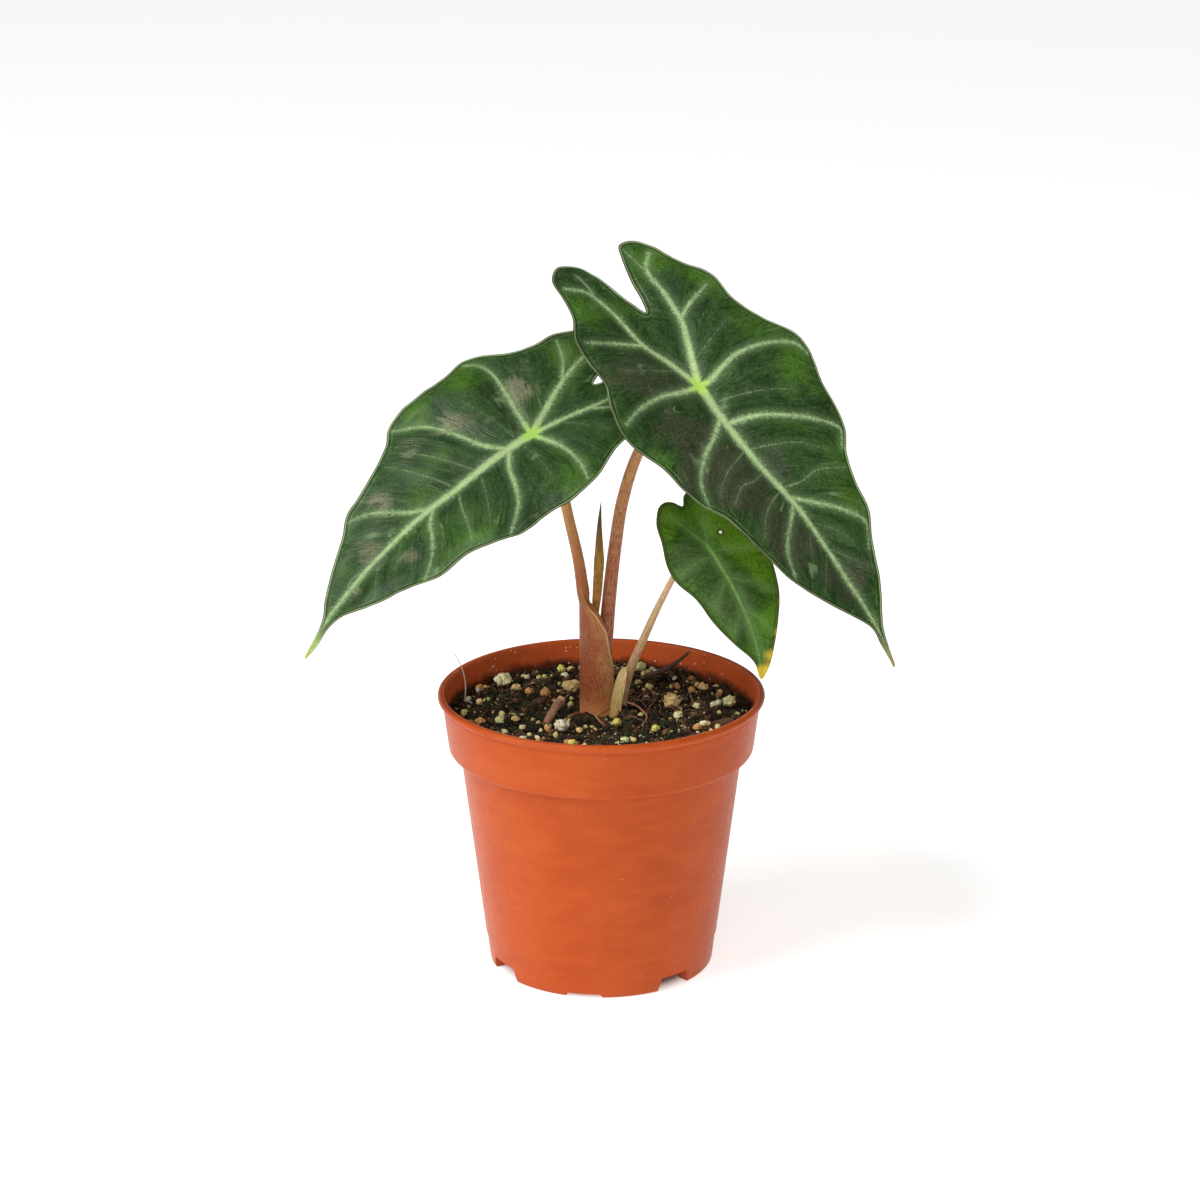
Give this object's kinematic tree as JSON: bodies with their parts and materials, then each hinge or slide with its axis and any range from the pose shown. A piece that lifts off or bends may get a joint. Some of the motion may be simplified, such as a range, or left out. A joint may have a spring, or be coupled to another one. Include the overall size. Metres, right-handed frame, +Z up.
{
  "type": "potted alocasia plant",
  "caption": "Young arrow-leaf alocasia with pale-veined drooping blades on sheathed stalks, growing in moist soil in a round tapered nursery pot that stands on a notched foot",
  "frame": {"origin": "on the floor at the middle of the pot's foot, which is also the bottom middle of the bounding box", "axes": "+Z up along the pot's axis, -Y the side that the leaf faces turn to, +X to the right seen from that side"},
  "size_m": [0.1896, 0.11, 0.2411],
  "materials": {
    "terracotta_plastic": "satin",
    "soil": "matte",
    "rhizome": "matte",
    "petiole": "satin",
    "small_petiole": "satin",
    "sheath": "matte",
    "spike": "matte",
    "leaf": "satin",
    "young_leaf": "satin",
    "perlite": "matte",
    "wood": "matte",
    "root": "matte"
  },
  "bodies": {
    "root": {"pot": "terracotta_plastic", "soil": "soil", "rhizome": "rhizome", "petiole_left": "petiole", "petiole_right": "petiole", "petiole_small": "small_petiole", "small_sheath": "sheath", "new_leaf_spike": "spike", "leaf_right": "leaf", "leaf_left": "leaf", "leaf_small": "young_leaf", "cut_stub": "wood", "dry_twig": "wood", "hair_root": "root", "perlite_01": "perlite", "perlite_02": "perlite", "perlite_03": "perlite", "perlite_04": "perlite", "perlite_05": "perlite", "perlite_06": "perlite", "perlite_07": "perlite", "perlite_08": "perlite", "perlite_09": "perlite", "perlite_10": "perlite", "perlite_11": "perlite", "perlite_12": "perlite", "perlite_13": "perlite", "perlite_14": "perlite", "perlite_15": "perlite", "perlite_16": "perlite", "perlite_17": "perlite", "perlite_18": "perlite", "perlite_19": "perlite", "perlite_20": "perlite", "perlite_21": "perlite", "perlite_22": "perlite", "perlite_23": "perlite", "perlite_24": "perlite", "bark_chip_1": "wood", "bark_chip_2": "wood", "bark_chip_3": "wood", "bark_chip_4": "wood", "surface_root_left": "root", "surface_root_front": "root", "surface_root_right": "root"}
  },
  "joints": []
}
